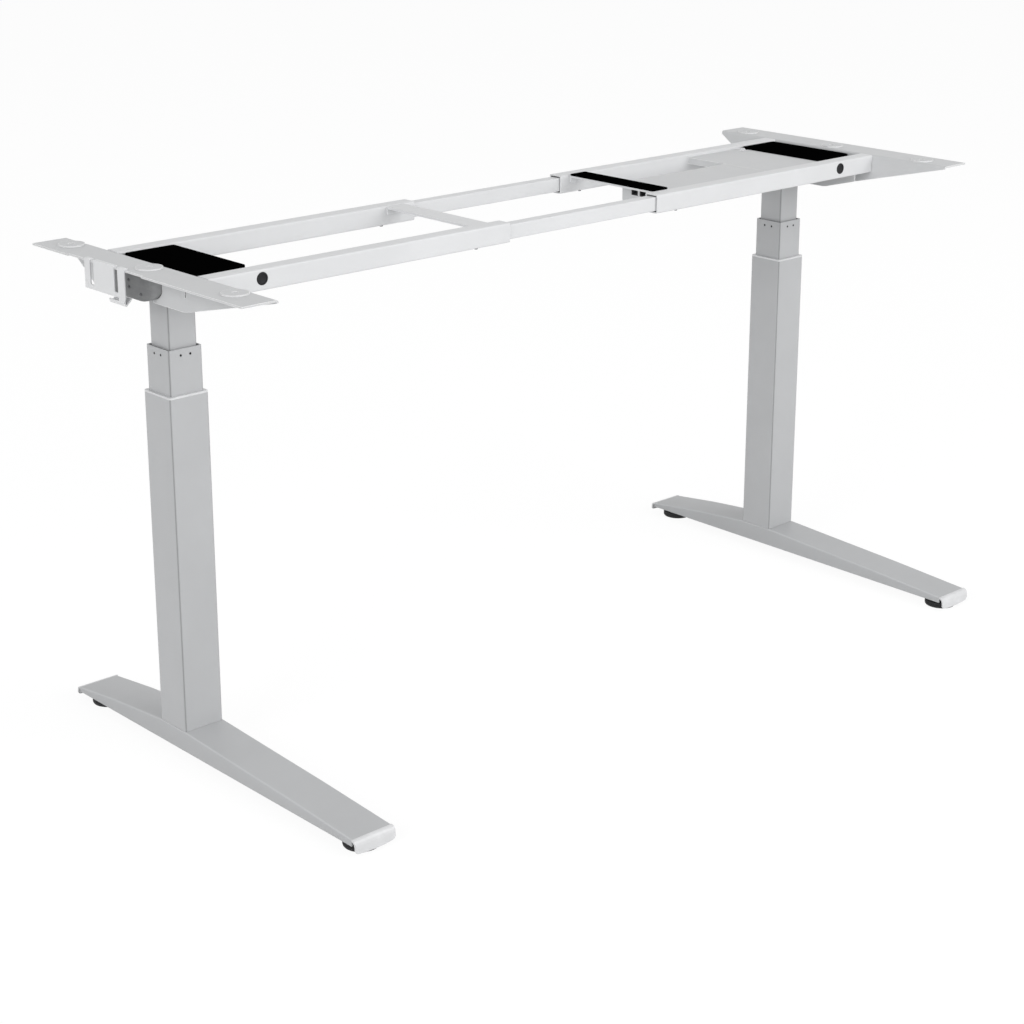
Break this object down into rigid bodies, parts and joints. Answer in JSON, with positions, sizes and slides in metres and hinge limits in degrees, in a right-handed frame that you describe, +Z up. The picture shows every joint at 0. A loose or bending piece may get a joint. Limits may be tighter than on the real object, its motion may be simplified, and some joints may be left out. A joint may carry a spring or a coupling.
{
  "type": "standing desk frame",
  "caption": "Height-adjustable desk frame with telescopic lifting columns on long feet, a width-adjustable rail frame, slotted side brackets for a table top, and an under-top control box.",
  "frame": {"origin": "on the floor, midway between the two columns and midway along the feet", "axes": "+X along the width of the desk, from the cable clip's side to the control box's side; +Y from the user's side to the back; +Z up"},
  "size_m": [1.6085, 0.7454, 0.807],
  "materials": {
    "silver_paint": "satin powder coat",
    "bracket_paint": "satin powder coat, between the two others",
    "light_paint": "satin powder coat, lighter where it faces the light",
    "bright_steel": "turned and ground",
    "light_plastic": "moulded, fine matt",
    "dark_plastic": "moulded, matt",
    "cast_metal": "die cast, painted grey",
    "motor_can": "drawn steel can, dark grey",
    "black_foam": "closed-cell foam, dead matt",
    "glide_rubber": "matt",
    "white_steel": "satin powder coat, near white"
  },
  "bodies": {
    "left_base": {"left_foot": "silver_paint", "left_foot_caps": "light_plastic", "left_outer_column": "silver_paint", "left_outer_collar": "light_plastic", "left_column_bolts": "bright_steel", "left_fixed_screw": "bright_steel"},
    "left_front_glide": {"left_front_glide": "glide_rubber"},
    "left_rear_glide": {"left_rear_glide": "glide_rubber"},
    "left_mid": {"left_mid_column": "silver_paint", "left_mid_liner": "dark_plastic", "left_mid_bearing": "dark_plastic"},
    "left_screw": {"left_screw_tube": "bright_steel"},
    "left_head": {"left_inner_column": "silver_paint", "left_nut_block": "dark_plastic", "left_gearbox": "cast_metal", "left_motor": "motor_can", "left_head_screws": "bright_steel", "left_side_bracket": "bracket_paint", "left_front_rail": "light_paint", "left_rear_rail": "light_paint", "left_mount_plate": "bracket_paint", "left_pad": "black_foam", "left_brace": "bracket_paint", "left_rail_bushes": "dark_plastic", "left_plugs": "dark_plastic", "cable_clip": "white_steel"},
    "left_shaft": {"left_drive_shaft": "bright_steel"},
    "right_base": {"right_foot": "silver_paint", "right_foot_caps": "light_plastic", "right_outer_column": "silver_paint", "right_outer_collar": "light_plastic", "right_column_bolts": "bright_steel", "right_fixed_screw": "bright_steel"},
    "right_front_glide": {"right_front_glide": "glide_rubber"},
    "right_rear_glide": {"right_rear_glide": "glide_rubber"},
    "right_mid": {"right_mid_column": "silver_paint", "right_mid_liner": "dark_plastic", "right_mid_bearing": "dark_plastic"},
    "right_screw": {"right_screw_tube": "bright_steel"},
    "right_head": {"right_inner_column": "silver_paint", "right_nut_block": "dark_plastic", "right_gearbox": "cast_metal", "right_motor": "motor_can", "right_head_screws": "bright_steel", "right_side_bracket": "bracket_paint", "right_front_rail": "light_paint", "right_rear_rail": "light_paint", "right_mount_plate": "bracket_paint", "right_pad": "black_foam", "right_brace": "bracket_paint", "right_rail_bushes": "dark_plastic", "right_plugs": "dark_plastic", "foam_strip": "black_foam", "cover_plate": "bracket_paint", "control_box": "bracket_paint", "control_lid": "bracket_paint", "port_sockets": "dark_plastic"},
    "right_shaft": {"right_drive_shaft": "bright_steel"},
    "middle_rails": {"front_inner_rail": "light_paint", "rear_inner_rail": "light_paint"}
  },
  "joints": [
    {"name": "left_lift", "type": "slide", "parent": "left_base", "child": "left_mid", "axis": [0, 0, 1], "range_m": [-0.066, 0.234]},
    {"name": "left_head_lift", "type": "slide", "parent": "left_mid", "child": "left_head", "axis": [0, 0, 1], "range_m": [-0.066, 0.234]},
    {"name": "left_width", "type": "slide", "parent": "left_head", "child": "middle_rails", "axis": [1, 0, 0], "range_m": [-0.15, 0.1]},
    {"name": "right_width", "type": "slide", "parent": "middle_rails", "child": "right_head", "axis": [1, 0, 0], "range_m": [-0.15, 0.1]},
    {"name": "right_head_lift", "type": "slide", "parent": "right_head", "child": "right_mid", "axis": [0, 0, -1], "range_m": [-0.066, 0.234]},
    {"name": "right_lift", "type": "slide", "parent": "right_mid", "child": "right_base", "axis": [0, 0, -1], "range_m": [-0.066, 0.234]},
    {"name": "left_screw_turn", "type": "hinge", "parent": "left_mid", "child": "left_screw", "pos_m": [-0.6905, 0.08888, 0.15], "axis": [0, 0, 1], "range_deg": [-2376, 8424]},
    {"name": "left_shaft_turn", "type": "hinge", "parent": "left_head", "child": "left_shaft", "pos_m": [-0.6905, 0.08888, 0.745], "axis": [0, 0, 1], "range_deg": [-2376, 8424]},
    {"name": "left_front_level", "type": "slide", "parent": "left_base", "child": "left_front_glide", "axis": [0, 0, 1], "range_m": [-0.008, 0.002]},
    {"name": "left_rear_level", "type": "slide", "parent": "left_base", "child": "left_rear_glide", "axis": [0, 0, 1], "range_m": [-0.006, 0.002]},
    {"name": "right_screw_turn", "type": "hinge", "parent": "right_mid", "child": "right_screw", "pos_m": [0.6905, 0.08888, 0.15], "axis": [0, 0, 1], "range_deg": [-2376, 8424]},
    {"name": "right_shaft_turn", "type": "hinge", "parent": "right_head", "child": "right_shaft", "pos_m": [0.6905, 0.08888, 0.745], "axis": [0, 0, 1], "range_deg": [-2376, 8424]},
    {"name": "right_front_level", "type": "slide", "parent": "right_base", "child": "right_front_glide", "axis": [0, 0, 1], "range_m": [-0.008, 0.002]},
    {"name": "right_rear_level", "type": "slide", "parent": "right_base", "child": "right_rear_glide", "axis": [0, 0, 1], "range_m": [-0.006, 0.002]}
  ],
  "couplings": [
    {"joint": "left_head_lift", "follows": "left_lift", "ratio": 1},
    {"joint": "right_head_lift", "follows": "left_lift", "ratio": 1},
    {"joint": "right_lift", "follows": "left_lift", "ratio": 1},
    {"joint": "left_screw_turn", "follows": "left_lift", "rad_per_m": 628.3},
    {"joint": "left_shaft_turn", "follows": "left_lift", "rad_per_m": 628.3},
    {"joint": "right_screw_turn", "follows": "left_lift", "rad_per_m": 628.3},
    {"joint": "right_shaft_turn", "follows": "left_lift", "rad_per_m": 628.3}
  ]
}
